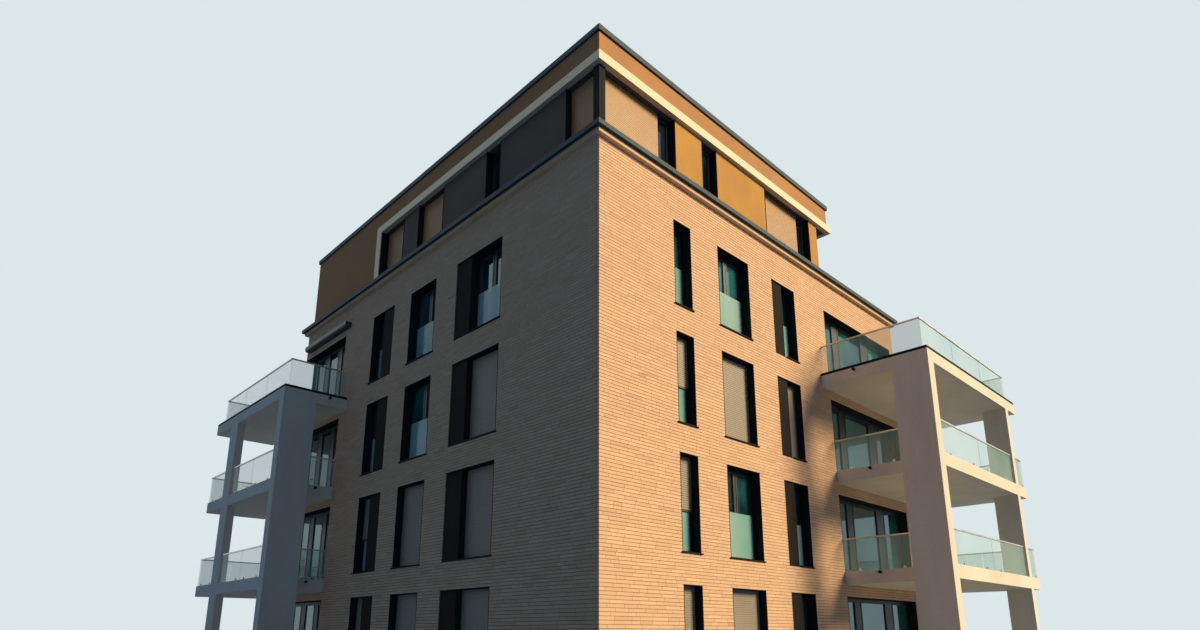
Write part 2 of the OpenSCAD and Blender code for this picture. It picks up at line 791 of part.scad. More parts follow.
// Level that one walks on, and the slab's top and underside
function balcony_z(k, drop) = sill_z(k) - balcony_step - drop;
function balcony_top(k, drop) = balcony_z(k, drop) - (k == top_storey ? paving_t : 0);
function balcony_under(k, drop) = balcony_top(k, drop) - (k == top_storey ? balcony_top_t : balcony_t);

// Near pier from the ground to the terrace, far pier between the floors
module tower_piers(start, end, out, far_len, far_depth, far_in, drop) {
    box([start, -out, 0], [start + near_pier_len, -out + near_pier_depth, balcony_under(top_storey, drop)]);
    far = end - far_in - far_len;
    for (k = [1:top_storey])
        box([far, -out, k == 1 ? 0 : balcony_z(k - 1, drop)], [far + far_len, -out + far_depth, balcony_under(k, drop)]);
}

// Floors: those under the terrace stay clear of the near pier except at its front
module tower_slabs(start, end, out, drop) {
    inner = start + near_pier_len;
    for (k = [1:top_storey - 1])
        translate([0, 0, balcony_under(k, drop)]) linear_extrude(balcony_t)
            polygon([[inner, -out], [end, -out], [end, 0], [inner + pier_gap, 0],
                [inner + pier_gap, -out + near_pier_depth], [inner, -out + near_pier_depth]]);
    box([start, -out, balcony_under(top_storey, drop)], [end, 0, balcony_top(top_storey, drop)]);
}

// Rails of one tower, each as [level, points along the glass, panes on each straight]
function tower_rails(start, end, out, far_len, far_in, wall_len, drop) = let (
    edge = rail_in + rail_glass_t / 2,
    inner = start + near_pier_len,
    side = inner + pier_gap + edge,
    front = -out + edge,
    wall = -lining_out - joint,
    far = end - far_in - far_len,
    tip = end - edge,
    top_side = start + top_rail_in,
    top_front = -out + top_rail_in,
    top_tip = end - top_rail_in)
    concat(
        [for (k = [1:top_storey - 1]) let (z = balcony_z(k, drop)) each [
            [z, [[side, -out + near_pier_depth], [side, wall]], [1]],
            [z, [[inner, front], [far - rail_end_gap, front]], [2]],
            [z, [[far + far_len, front], [tip, front], [tip, -edge], [wall_len, -edge]], [1, 2, 1]]]],
        [[balcony_z(top_storey, drop), [[top_side, wall], [top_side, top_front], [top_tip, top_front],
            [top_tip, -edge], [wall_len, -edge]], [2, 3, 2, 1]]]);

// Turns the children so that X runs from one point to the other
module along(a, b) translate(a) rotate(atan2(b[1] - a[1], b[0] - a[0])) children();

// Panes of one rail: each straight but the first starts clear of the pane round the corner
module rail_panes(z, points, panes) {
    last = len(panes) - 1;
    for (i = [0:last]) {
        start = i == 0 ? 0 : rail_glass_t / 2 + pane_joint;
        run = norm(points[i + 1] - points[i]) + (i == last ? 0 : rail_glass_t / 2) - start;
        pane_w = (run - (panes[i] - 1) * pane_joint) / panes[i];
        for (j = [0:panes[i] - 1])
            along(points[i], points[i + 1])
                translate([start + j * (pane_w + pane_joint), -rail_glass_t / 2, z])
                    cube([pane_w, rail_glass_t, rail_glass_h]);
    }
}

// Handrail lengths on top, butted at the corners
module rail_cap(z, points) {
    last = len(points) - 2;
    for (i = [0:last])
        along(points[i], points[i + 1])
            box([i == 0 ? 0 : handrail / 2 + joint, -handrail / 2, z + rail_glass_h],
                [norm(points[i + 1] - points[i]) + (i == last ? 0 : handrail / 2), handrail / 2,
                    z + rail_glass_h + handrail]);
}

module tower_glass(rails) for (r = rails) rail_panes(r[0], r[1], r[2]);
module tower_caps(rails) for (r = rails) rail_cap(r[0], r[1]);

front_rails = tower_rails(tower_f_start, tower_f_end, tower_f_out, far_pier_f_len, far_pier_f_in,
    front_len, 0);
left_rails = tower_rails(tower_l_start, tower_l_end, tower_l_out, far_pier_l_len, far_pier_l_in,
    left_len, tower_l_drop);

module front_balcony_piers() color("wheat") on_front()
    tower_piers(tower_f_start, tower_f_end, tower_f_out, far_pier_f_len, far_pier_f_depth, far_pier_f_in, 0);
module front_balcony_slabs() color("wheat") on_front()
    tower_slabs(tower_f_start, tower_f_end, tower_f_out, 0);
module left_balcony_piers() color("wheat") on_left()
    tower_piers(tower_l_start, tower_l_end, tower_l_out, far_pier_l_len, far_pier_l_depth, far_pier_l_in,
        tower_l_drop);
module left_balcony_slabs() color("wheat") on_left()
    tower_slabs(tower_l_start, tower_l_end, tower_l_out, tower_l_drop);

module balcony_glass() color("paleturquoise", 0.5) {
    on_front() tower_glass(front_rails);
    on_left() tower_glass(left_rails);
}

module balcony_handrails() color("silver") {
    on_front() tower_caps(front_rails);
    on_left() tower_caps(left_rails);
}

// Dark metal trim on three edges of a terrace, and the paving inside it
module tower_trim(start, end, out, z) {
    box([start, -out, z], [end, -out + trim_w, z + paving_t]);
    box([start, -out + trim_w + joint, z], [start + trim_w, 0, z + paving_t]);
    box([end - trim_w, -out + trim_w + joint, z], [end, 0, z + paving_t]);
}

module terrace_trim() color("darkslategray") {
    on_front() tower_trim(tower_f_start, tower_f_end, tower_f_out, balcony_top(top_storey, 0));
    on_left() tower_trim(tower_l_start, tower_l_end, tower_l_out, balcony_top(top_storey, tower_l_drop));
}

module tower_paving(start, end, out, z)
    box([start + trim_w, -out + trim_w, z], [end - trim_w, 0, z + paving_t]);

module terrace_paving() color("darkgray") {
    on_front() tower_paving(tower_f_start, tower_f_end, tower_f_out, balcony_top(top_storey, 0));
    on_left() tower_paving(tower_l_start, tower_l_end, tower_l_out, balcony_top(top_storey, tower_l_drop));
}

// Overflow spouts in the side of the floors that faces the near corner
module tower_spouts(start, out_from_wall, drop)
    for (k = [1:top_storey]) {
        side = k == top_storey ? start : start + near_pier_len + pier_gap;
        translate([side, -out_from_wall, balcony_top(k, drop) - spout_down]) rotate([0, -90, 0])
            difference() {
                cylinder(d = spout_d, h = spout_l);
                translate([0, 0, spout_l / 2]) cylinder(d = spout_d - 2 * spout_wall, h = spout_l);
            }
    }

module overflow_spouts() color("dimgray") {
    on_front() tower_spouts(tower_f_start, spout_f_out, 0);
    on_left() tower_spouts(tower_l_start, spout_l_out, tower_l_drop);
}

// Awning case: a box with a rounded lower front edge, fixed to the wall over the door
module awning_case() color("dimgray") on_left()
    translate([left_len - awning_end - awning_len, 0, head_z(top_storey) + awning_up]) rotate([90, 0, 90])
        linear_extrude(awning_len) {
            difference() {
                translate([-awning_out, 0]) square([awning_out, awning_h]);
                translate([-awning_out, 0]) square(awning_round);
            }
            intersection() {
                translate([awning_round - awning_out, awning_round]) circle(awning_round);
                translate([-awning_out, 0]) square(awning_round);
            }
        }

ground_slab();
floor_slabs();
front_wall_bands();
front_wall_piers();
left_wall_bands();
left_wall_piers();
back_wall_bands();
back_wall_piers();
right_wall_bands();
right_wall_piers();
cornice_strip();
parapet_coping();
facing_panels();
window_sills();
window_linings();
front_window_frames();
front_window_glass();
left_window_frames();
left_window_glass();
rear_window_frames();
rear_window_glass();
window_balustrades();
roller_shutters();
rear_roller_shutters();
corner_posts();
roof_storey_base();
roof_storey_front_wall();
roof_storey_left_wall();
roof_storey_back_wall();
roof_storey_right_wall();
roof_window_frames();
roof_window_glass();
roof_shutters();
roof_side_cheek();
roof_slab();
cream_band();
roof_fascia();
roof_coping();
front_balcony_piers();
front_balcony_slabs();
left_balcony_piers();
left_balcony_slabs();
balcony_glass();
balcony_handrails();
terrace_trim();
terrace_paving();
roof_deck();
overflow_spouts();
awning_case();
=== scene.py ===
"""Apartment block of long clinker bricks with a rendered roof storey and two balcony towers.

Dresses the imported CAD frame: bricks, shutter slats, sheet-metal seams, clamps, pavers and materials.
"""

import math
import random

import bmesh
import bpy
from mathutils import Matrix, Vector


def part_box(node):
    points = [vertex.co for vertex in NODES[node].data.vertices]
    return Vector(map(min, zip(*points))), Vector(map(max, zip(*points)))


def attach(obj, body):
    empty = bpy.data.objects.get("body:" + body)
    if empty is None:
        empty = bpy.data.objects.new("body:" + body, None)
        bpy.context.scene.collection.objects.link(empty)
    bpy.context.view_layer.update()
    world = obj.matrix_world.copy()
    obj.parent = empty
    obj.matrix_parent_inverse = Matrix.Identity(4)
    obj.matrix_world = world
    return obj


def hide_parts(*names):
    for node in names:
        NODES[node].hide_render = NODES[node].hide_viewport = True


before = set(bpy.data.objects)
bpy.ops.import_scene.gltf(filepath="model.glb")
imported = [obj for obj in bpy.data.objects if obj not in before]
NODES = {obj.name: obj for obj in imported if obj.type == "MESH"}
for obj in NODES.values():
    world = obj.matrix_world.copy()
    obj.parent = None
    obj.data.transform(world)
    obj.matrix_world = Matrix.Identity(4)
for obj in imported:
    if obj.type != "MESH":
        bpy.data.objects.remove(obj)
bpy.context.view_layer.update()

bl_info = {
    "name": "Apartment block finishes",
    "version": (1, 0, 0),
    "blender": (4, 5, 0),
    "location": "3D View > Sidebar > Block",
    "description": "Dresses the CAD model of an apartment block with its finishes",
    "category": "Object",
}

# Each wall with the axis that it faces along and its way outwards
WALLS = (("front", 1, -1), ("left", 0, -1), ("back", 1, 1), ("right", 0, 1))
WALL_NODES = [f"{side}_wall_{part}" for side, *_ in WALLS for part in ("bands", "piers")]

# Lengths are in metres. These four say how near counts as the same corner, the same plane, the next
# face along and the same edge.
WELD = 0.0005
FLUSH = 0.001
MEET = 0.004
TOUCH = 0.0001

# Bricks are cut in the same way each time: the first of a course to a share of its length within
# this range, and the next ones to one of these shares
BRICK_SEED = 4
FIRST_CUT = (0.2, 1.0)
CUTS = (1, 1, 1, 0.75, 0.5)
# A shorter run gets no brick, and a shorter rest joins the brick before it
SHORTEST_RUN = 0.03
SHORTEST_REST = 0.08
# Tones run from 0 to 1 and lie round this one
TONE_MEAN = 0.5
TONE_SPREAD = 0.13

# Rubber round the panes
GASKET_DEPTH = 0.006

# Shutters: the share of a curtain's depth that its flat back takes, and the gaps and rounds of slats
BACK_SHARE = 0.3
SLAT_HALF_GAP = 0.001
SLAT_ROUND = 0.005
BAR_PROUD = 0.002
BAR_ROUND = 0.002

# Laps of the flat roof's sheets
LAP_INSET = 0.02
LAP_HALF_WIDTH = 0.05
LAP_SINK = 0.002
LAP_RISE = 0.006
LAP_ROUND = 0.003

# Covers over the butt joints of the copings
COPING_LENGTH = 2.5
COVER_HALF_WIDTH = 0.03
COVER_PROUD = 0.003
COVER_DROP = 0.004
COVER_LIP = 0.012
COVER_REACH = 0.4

# Clamps of the rail panes: their places as shares of a pane's length, and their sizes
CLAMP_PLACES = (0.2, 0.8)
CLAMP_HALF_WIDTH = 0.03
CLAMP_PROUD = 0.012
CLAMP_HEIGHT = 0.07
CLAMP_ROUND = 0.004

# Drip strips under the balcony slabs: how far in both of their edges lie, and their heights
DRIP_EDGES = (0.04, 0.06)
DRIP_DROP = 0.008
DRIP_SINK = 0.004
DRIP_ROUND = 0.002

# Terrace pavers
PAVER_HALF_GAP = 0.003
PAVER_SINK = 0.01
PAVER_RISE = 0.006
PAVER_ROUND = 0.003

# How much of a surface's colour follows its grain, and the rest its patches
GRAIN_SHARE = 0.35

# Stage: the floor, the soft lights' ways and apparent size, the sensor in millimetres and the view
FLOOR_RADIUS = 160
FLOOR_SIDES = 64
KEY_WAY = (0.6, -1.0, 0.55)
BACK_WAY = (0.25, 1.0, 0.5)
LIGHT_ANGLE = math.radians(22)
SENSOR_WIDTH = 36
VIEW_END = 500


def linear(code):
    """Turns an sRGB hex colour into the linear one that Blender works with."""
    parts = [int(code[i:i + 2], 16) / 255 for i in (1, 3, 5)]
    return (*(c / 12.92 if c <= 0.04045 else ((c + 0.055) / 1.055) ** 2.4 for c in parts), 1.0)


def add(tree, kind, sockets=None, stops=(), **settings):
    """Adds one node with its settings. A socket takes a value or another node's output."""
    node = tree.nodes.new(kind)
    for key, value in settings.items():
        setattr(node, key, value)
    for key, value in (sockets or {}).items():
        if isinstance(value, bpy.types.NodeSocket):
            tree.links.new(value, node.inputs[key])
        else:
            node.inputs[key].default_value = value
    for i, (position, colour) in enumerate(stops):
        ramp = node.color_ramp.elements
        element = ramp[i] if i == 0 else ramp[-1] if i == len(stops) - 1 else ramp.new(position)
        element.position, element.color = position, colour
    return node


def start_material(name):
    """Returns a material, its tree, its shader and the Object coordinates."""
    material = bpy.data.materials.new(name)
    material.use_nodes = True
    tree = material.node_tree
    tree.nodes.clear()
    shader = add(tree, "ShaderNodeBsdfPrincipled")
    add(tree, "ShaderNodeOutputMaterial", {"Surface": shader.outputs["BSDF"]})
    return material, tree, shader, add(tree, "ShaderNodeTexCoord").outputs["Object"]


def per(millimetres):
    """Scale of a pattern whose features have this size."""
    return 1000 / millimetres


def shaded(colour, share):
    """A colour with its red, green and blue brought down to a share."""
    return (*(share * c for c in colour[:3]), 1.0)


def finish_surface(tree, shader, shade, stops, sheen, rough, relief=None, depth=0.0):
    """Lets patterns set the shader's colour and roughness and, with a relief, its grain.

    shade picks the colour along the stops, sheen the roughness within the range, and depth is the
    height of the relief in millimetres.
    """
    ramp = add(tree, "ShaderNodeValToRGB", {"Fac": shade}, stops=stops)
    tree.links.new(ramp.outputs["Color"], shader.inputs["Base Color"])
    # Noise lies mostly between 0.3 and 0.7
    gloss = add(tree, "ShaderNodeMapRange", {"Value": sheen, "From Min": 0.3, "From Max": 0.7,
                                             "To Min": rough[0], "To Max": rough[1]})
    tree.links.new(gloss.outputs["Result"], shader.inputs["Roughness"])
    if relief is not None:
        bump = add(tree, "ShaderNodeBump", {"Height": relief, "Distance": depth / 1000})
        tree.links.new(bump.outputs["Normal"], shader.inputs["Normal"])


def mottled(name, dark, light, patch, grain, depth, rough, metal=0.0, tall=1.0, ior=1.5):
    """Material whose colour drifts over patches and whose surface has a fine grain.

    patch and grain are feature sizes and depth is the height of the grain, in millimetres. rough is
    the range of roughness, tall is how many times a patch is higher than wide, as where rain has run
    down, and a low ior dulls the surface.
    """
    material, tree, shader, point = start_material(name)
    shader.inputs["Metallic"].default_value = metal
    shader.inputs["IOR"].default_value = ior
    run = add(tree, "ShaderNodeMapping", {"Vector": point, "Scale": (1.0, 1.0, 1 / tall)})
    drift = add(tree, "ShaderNodeTexNoise", {"Vector": run.outputs["Vector"], "Scale": per(patch),
                                             "Detail": 4.0})
    fine = add(tree, "ShaderNodeTexNoise", {"Vector": point, "Scale": per(grain), "Detail": 3.0})
    both = add(tree, "ShaderNodeMix", {0: GRAIN_SHARE, 2: drift.outputs["Fac"], 3: fine.outputs["Fac"]})
    finish_surface(tree, shader, both.outputs[0], [(0.36, dark), (0.64, light)], both.outputs[0],
                   rough, fine.outputs["Fac"], depth)
    return material


def clinker_brick(props):
    """Fired clay, extruded and wire-cut: matt, each brick its own tone, with burnt flecks."""
    material, tree, shader, point = start_material("clinker_brick")
    tone = add(tree, "ShaderNodeAttribute", attribute_name="tone").outputs["Fac"]
    # Flecks of 12 mm in the real clay are drawn at 45 mm, the finest that shows
    fleck = add(tree, "ShaderNodeTexNoise", {"Vector": point, "Scale": per(45), "Detail": 5.0,
                                             "Roughness": 0.65})
    both = add(tree, "ShaderNodeMix", {0: 0.3, 2: tone, 3: fleck.outputs["Fac"]})
    tones = [(0.0, props.burnt), (0.3, props.clay), (0.75, props.pale), (1.0, props.bright)]
    finish_surface(tree, shader, both.outputs[0], tones, fleck.outputs["Fac"], (0.72, 0.9),
                   fleck.outputs["Fac"], 4)
    return material


def flat_glass(name, dark, light, patch, alpha, ior, tint):
    """Float glass: a mirror-like face over a tint that drifts a little over patches."""
    material, tree, shader, point = start_material(name)
    drift = add(tree, "ShaderNodeTexNoise", {"Vector": point, "Scale": per(patch), "Detail": 2.0})
    finish_surface(tree, shader, drift.outputs["Fac"], [(0.38, dark), (0.62, light)],
                   drift.outputs["Fac"], (0.03, 0.07))
    shader.inputs["IOR"].default_value = ior
    shader.inputs["Alpha"].default_value = alpha
    shader.inputs["Specular Tint"].default_value = tint
    return material


def upright_boards():
    """Fibre cement boards, through-coloured: near black, cloudy, with fine upright joints."""
    material, tree, shader, point = start_material("fibre_cement_boards")
    # Boards 140 mm wide; x + y runs along the wall on all four sides
    along = add(tree, "ShaderNodeVectorMath", {0: point, 1: (per(140), per(140), 0.0)},
                operation="DOT_PRODUCT")
    share = add(tree, "ShaderNodeMath", {0: along.outputs["Value"]}, operation="FRACT")
    # The joints of 4 mm are drawn 9 mm wide
    board = add(tree, "ShaderNodeMapRange", {"Value": share.outputs[0], "From Min": 0.0,
                                             "From Max": 0.065, "To Min": 0.0, "To Max": 1.0})
    cloud = add(tree, "ShaderNodeTexNoise", {"Vector": point, "Scale": per(350), "Detail": 4.0})
    both = add(tree, "ShaderNodeMath", {0: board.outputs["Result"], 1: cloud.outputs["Fac"]},
               operation="MULTIPLY")
    tones = [(0.0, linear("#080707")), (0.35, linear("#1B1918")), (0.65, linear("#282523"))]
    finish_surface(tree, shader, both.outputs[0], tones, cloud.outputs["Fac"], (0.88, 0.98),
                   board.outputs["Result"], 4)
    shader.inputs["IOR"].default_value = 1.25
    return material


def dress(material, *names):
    """Gives CAD nodes their material."""
    for name in names:
        node = NODES[name]
        if not node.material_slots:
            node.data.materials.append(material)
        for slot in node.material_slots:
            slot.material = material


def make_piece(name, bm, material, slot, *replaced):
    """Turns a bmesh into a finished piece that rides on the building."""
    bmesh.ops.recalc_face_normals(bm, faces=bm.faces)
    mesh = bpy.data.meshes.new(name)
    bm.to_mesh(mesh)
    bm.free()
    mesh.materials.append(material)
    piece = bpy.data.objects.new(name, mesh)
    bpy.context.scene.collection.objects.link(piece)
    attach(piece, "root")
    if replaced:
        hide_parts(*replaced)
    return piece


def add_block(bm, lo, hi):
    """Adds a block between two corners and returns its vertices."""
    lo, hi = Vector(lo), Vector(hi)
    place = Matrix.Translation((lo + hi) / 2) @ Matrix.Diagonal((*(hi - lo), 1))
    return bmesh.ops.create_cube(bm, size=1, matrix=place)["verts"]


def soften(bm, width, edges=None, segments=1):
    """Rounds edges, all of them unless some are given."""
    bmesh.ops.bevel(bm, geom=list(edges or bm.edges), offset=width, affect="EDGES",
                    segments=segments, profile=0.5, material=-1)


def facing(lo, hi):
    """Axis that an upright sheet is thin along, the one that it runs along and its way outwards."""
    thin = 0 if hi.x - lo.x < hi.y - lo.y else 1
    return thin, 1 - thin, 1 if lo[thin] + hi[thin] > 0 else -1


def inner_marks(start, end, pitch, least=1):
    """Places that part a run into equal lengths of about the pitch, without its two ends."""
    count = max(least, round((end - start) / pitch))
    return [start + (end - start) * i / count for i in range(1, count)]


def solids(*names):
    """Lowest and highest corner of every separate solid in these CAD nodes."""
    boxes = []
    for name in names:
        bm = bmesh.new()
        bm.from_mesh(NODES[name].data)
        bmesh.ops.remove_doubles(bm, verts=bm.verts, dist=WELD)
        seen = set()
        for first in bm.verts:
            if first in seen:
                continue
            seen.add(first)
            island, queue = [], [first]
            while queue:
                vert = queue.pop()
                island.append(vert.co.copy())
                for edge in vert.link_edges:
                    other = edge.other_vert(vert)
                    if other not in seen:
                        seen.add(other)
                        queue.append(other)
            boxes.append((Vector(map(min, zip(*island))), Vector(map(max, zip(*island)))))
        bm.free()
    return boxes


def wall_faces(axis, outward):
    """Outer plane of one wall and its flat faces, each as (start, end, low, high).

    Faces of one height that meet count as one, so that bricks run on over a seam.
    """
    along = 1 - axis
    boxes = [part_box(name) for name in WALL_NODES]
    plane = outward * max(outward * (hi if outward > 0 else lo)[axis] for lo, hi in boxes)
    faces = set()
    for name in WALL_NODES:
        mesh = NODES[name].data
        for polygon in mesh.polygons:
            points = [mesh.vertices[i].co for i in polygon.vertices]
            if all(abs(p[axis] - plane) < FLUSH for p in points):
                run, rise = [p[along] for p in points], [p.z for p in points]
                faces.add(tuple(round(v, 3) for v in (min(rise), max(rise), min(run), max(run))))
    merged = []
    for low, high, start, end in sorted(faces):
        last = merged[-1] if merged else None
        if last and last[2:] == (low, high) and abs(last[1] - start) < MEET:
            merged[-1] = (last[0], end, low, high)
        else:
            merged.append((start, end, low, high))
    return plane, merged


class WallProperties(bpy.types.PropertyGroup):
    """Bricks and joints of the outer walls."""
    course: bpy.props.FloatProperty(name="Course", description="Height of one course with its joint",
                                    default=0.0776, unit="LENGTH")
    length: bpy.props.FloatProperty(name="Length", description="Length of a whole brick",
                                    default=0.49, unit="LENGTH")
    joint: bpy.props.FloatProperty(name="Joint", description="Height of the mortar joints",
                                   default=0.012, unit="LENGTH")
    butt: bpy.props.FloatProperty(name="Butt joint", description="Width of the upright joints",
                                  default=0.006, unit="LENGTH")
    proud: bpy.props.FloatProperty(name="Proud", description="How far a brick stands out of its joint",
                                   default=0.008, unit="LENGTH")
    lap: bpy.props.FloatProperty(name="Lap", description="Width of one sheet of the flat roof",
                                 default=1.0, unit="LENGTH")
    burnt: bpy.props.FloatVectorProperty(name="Burnt", description="Darkest bricks", subtype="COLOR",
                                         size=4, default=linear("#A08470"))
    clay: bpy.props.FloatVectorProperty(name="Clay", description="Usual darker bricks",
                                        subtype="COLOR", size=4, default=linear("#C8A487"))
    pale: bpy.props.FloatVectorProperty(name="Pale", description="Usual lighter bricks",
                                        subtype="COLOR", size=4, default=linear("#D9B799"))
    bright: bpy.props.FloatVectorProperty(name="Bright", description="Lightest bricks",
                                          subtype="COLOR", size=4, default=linear("#E7CBAF"))


class OpeningProperties(bpy.types.PropertyGroup):
    """Windows, shutters and glass."""
    pitch: bpy.props.FloatProperty(name="Slat pitch", description="Height of one shutter slat",
                                   default=0.052, unit="LENGTH")
    bar: bpy.props.FloatProperty(name="End bar", description="Height of a shutter's end bar",
                                 default=0.045, unit="LENGTH")
    gasket: bpy.props.FloatProperty(name="Gasket", description="Width of the rubber round a pane",
                                    default=0.012, unit="LENGTH")
    # The window glass drifts between these two tints: its own dark tint, with lighter patches as a
    # painted reflection of the sky
    deep: bpy.props.FloatVectorProperty(name="Deep", description="Darker tint of the window glass",
                                        subtype="COLOR", size=4, default=linear("#12303A"))
    sheen: bpy.props.FloatVectorProperty(name="Sheen", description="Lighter tint of the window glass",
                                         subtype="COLOR", size=4, default=linear("#2C6E7A"))
    slats: bpy.props.FloatVectorProperty(name="Slats", description="Colour of the shutters",
                                         subtype="COLOR", size=4, default=linear("#8C8379"))
    roof_slats: bpy.props.FloatVectorProperty(name="Roof slats", subtype="COLOR", size=4,
                                              description="Colour of the roof storey's shutters",
                                              default=linear("#A37D54"))


class TowerProperties(bpy.types.PropertyGroup):
    """Balcony towers and their rails."""
    rail: bpy.props.FloatVectorProperty(name="Rail glass", description="Tint of the rail glass",
                                        subtype="COLOR", size=4, default=linear("#8FC4C0"))
    dusty: bpy.props.FloatVectorProperty(name="Dusty glass", description="Rail glass under dust",
                                         subtype="COLOR", size=4, default=linear("#B4D6D0"))
    paver: bpy.props.FloatProperty(name="Paver", description="Side of one terrace paver",
                                   default=0.5, unit="LENGTH")


class StageProperties(bpy.types.PropertyGroup):
    """Floor, light and camera."""
    key: bpy.props.FloatProperty(name="Key", description="Strength of the soft key light", default=5.5)
    fill: bpy.props.FloatProperty(name="Fill", description="Strength of the light from all round",
                                  default=0.2)
    back: bpy.props.FloatProperty(name="Back", description="Strength of the soft light behind",
                                  default=1.6)
    pitch: bpy.props.FloatProperty(name="Pitch", description="How far the camera looks up",
                                   default=math.radians(14.286), subtype="ANGLE")
    turn: bpy.props.FloatProperty(name="Turn", description="Compass turn of the camera",
                                  default=math.radians(-44.289), subtype="ANGLE")
    place: bpy.props.FloatVectorProperty(name="Place", description="Where the camera stands",
                                         subtype="TRANSLATION", default=(-16.942, -17.443, 4.282))
    lens: bpy.props.FloatProperty(name="Lens", description="Focal length on a sensor 36 mm wide",
                                  default=21.447, unit="CAMERA")
    shift: bpy.props.FloatProperty(name="Shift", default=0.115,
                                   description="How far the frame is shifted up, in widths")
    floor: bpy.props.FloatVectorProperty(name="Floor", description="Colour of the floor to the eye",
                                         subtype="COLOR", size=4, default=linear("#CCDAEA"))
    bounce: bpy.props.FloatVectorProperty(name="Bounce", subtype="COLOR", size=4,
                                          description="Colour of the floor to the light it returns",
                                          default=linear("#4A6A8C"))


class BLOCK_OT_bricks(bpy.types.Operator):
    """Lays the long bricks in wild bond on the four walls"""
    bl_idname = "block.bricks"
    bl_label = "Lay the bricks"

    def execute(self, context):
        props = context.scene.block_walls
        brick = clinker_brick(props)
        # Cement mortar, raked and brushed: a sandy, matt brown, darker than the bricks
        mortar = mottled("brushed_mortar", linear("#80664D"), linear("#977B60"), 900, 30, 2,
                         (0.85, 0.95))
        dress(mortar, *WALL_NODES)
        rng = random.Random(BRICK_SEED)
        for name, axis, outward in WALLS:
            plane, faces = wall_faces(axis, outward)
            first, last = min(f[0] for f in faces), max(f[1] for f in faces)
            bm = bmesh.new()
            tone = bm.faces.layers.float.new("tone")
            for start, end, low, high in faces:
                courses = max(1, round((high - low) / props.course))
                rise = (high - low) / courses
                for i in range(courses):
                    # Every second course laps the bricks of the next wall at a corner
                    turn = props.proud if i % 2 == axis else 0.0
                    a = start - (turn if start == first else 0.0)
                    stop = end + (turn if end == last else 0.0)
                    bottom = low + i * rise + props.joint / 2
                    top = low + i * rise + rise - props.joint / 2
                    cut = rng.uniform(*FIRST_CUT)
                    while a < stop - SHORTEST_RUN:
                        size = props.length * (cut if cut else rng.choice(CUTS))
                        cut = 0
                        b = a + size if a + size < stop - SHORTEST_REST else stop
                        near = a + props.butt / 2 * (a > start)
                        far = b - props.butt / 2 * (b < stop)
                        corners = ((near, bottom), (far, bottom), (far, top), (near, top))
                        if axis == 1:
                            verts = [bm.verts.new((u, plane, v)) for u, v in corners]
                        else:
                            verts = [bm.verts.new((plane, u, v)) for u, v in corners]
                        shade = rng.gauss(TONE_MEAN, TONE_SPREAD)
                        bm.faces.new(verts)[tone] = min(1.0, max(0.0, shade))
                        a = b
            bricks = bmesh.ops.extrude_discrete_faces(bm, faces=bm.faces)["faces"]
            step = Vector((0, 0, 0))
            step[axis] = outward * props.proud
            bmesh.ops.translate(bm, vec=step, verts=list({v for f in bricks for v in f.verts}))
            make_piece(f"bricks_{name}", bm, brick, "brick")
        return {"FINISHED"}


class BLOCK_OT_windows(bpy.types.Operator):
    """Finishes the window frames, panes, linings, sills and facing panels"""
    bl_idname = "block.windows"
    bl_label = "Finish the windows"

    def execute(self, context):
        props = context.scene.block_openings
        # Aluminium profiles, powder coated: satin anthracite
        frames = mottled("coated_window_profiles", linear("#1C2025"), linear("#282D33"), 700, 20, 0.3,
                         (0.35, 0.5), metal=0.2)
        dress(frames, "front_window_frames", "left_window_frames", "rear_window_frames",
              "roof_window_frames")
        # Folded aluminium sheet, powder coated: dark, a little dusty; on the window linings its
        # darkness is partly painted shade of the reveals
        sheet = mottled("coated_lining_sheet", linear("#13171B"), linear("#1F2429"), 500, 25, 0.3,
                        (0.7, 0.85), ior=1.2)
        dress(sheet, "window_sills", "window_linings", "corner_posts", "terrace_trim",
              "overflow_spouts")
        dress(upright_boards(), "facing_panels")
        # Coated insulating glass: dark teal from outside, with a strong reflection; the teal and its
        # lighter patches are partly the glass's tint and partly a painted reflection of the sky
        panes = flat_glass("coated_insulating_glass", props.deep, props.sheen, 1500, 0.88, 2.5,
                           linear("#CDECEE"))
        dress(panes, "front_window_glass", "left_window_glass", "rear_window_glass")
        # Sun-control glass: deep navy
        dress(flat_glass("sun_control_glass", linear("#0C1722"), linear("#1B2E3F"), 1500, 0.92, 1.7,
                         linear("#C9DDF0")), "roof_window_glass")
        # Laminated safety glass: clear with a teal cast; its light teal is partly painted reflection of
        # the sky
        dress(flat_glass("laminated_balustrade_glass", linear("#9AD6D4"), linear("#C6ECE8"), 2500, 0.42,
                         1.7, linear("#DDF2F0")), "window_balustrades")
        bm = bmesh.new()
        for lo, hi in solids("front_window_glass", "left_window_glass", "rear_window_glass",
                             "roof_window_glass"):
            thin, wide, outward = facing(lo, hi)
            face = hi[thin] if outward > 0 else lo[thin]
            start, end = lo[wide], hi[wide]
            low, high = lo.z + props.gasket, hi.z - props.gasket
            # Top and bottom bar over the whole width, then the two uprights between them
            for ends, heights in (((start, end), (high, hi.z)),
                                  ((start, end), (lo.z, low)),
                                  ((start, start + props.gasket), (low, high)),
                                  ((end - props.gasket, end), (low, high))):
                a, b = lo.copy(), hi.copy()
                a[thin], b[thin] = sorted((face, face + outward * GASKET_DEPTH))
                a[wide], b[wide] = ends
                a.z, b.z = heights
                add_block(bm, a, b)
        # EPDM rubber, extruded: matt black
        rubber = mottled("gasket_rubber", linear("#0E0F10"), linear("#17181A"), 200, 10, 0.2,
                         (0.6, 0.8))
        make_piece("window_gaskets", bm, rubber, "window_frame")
        return {"FINISHED"}


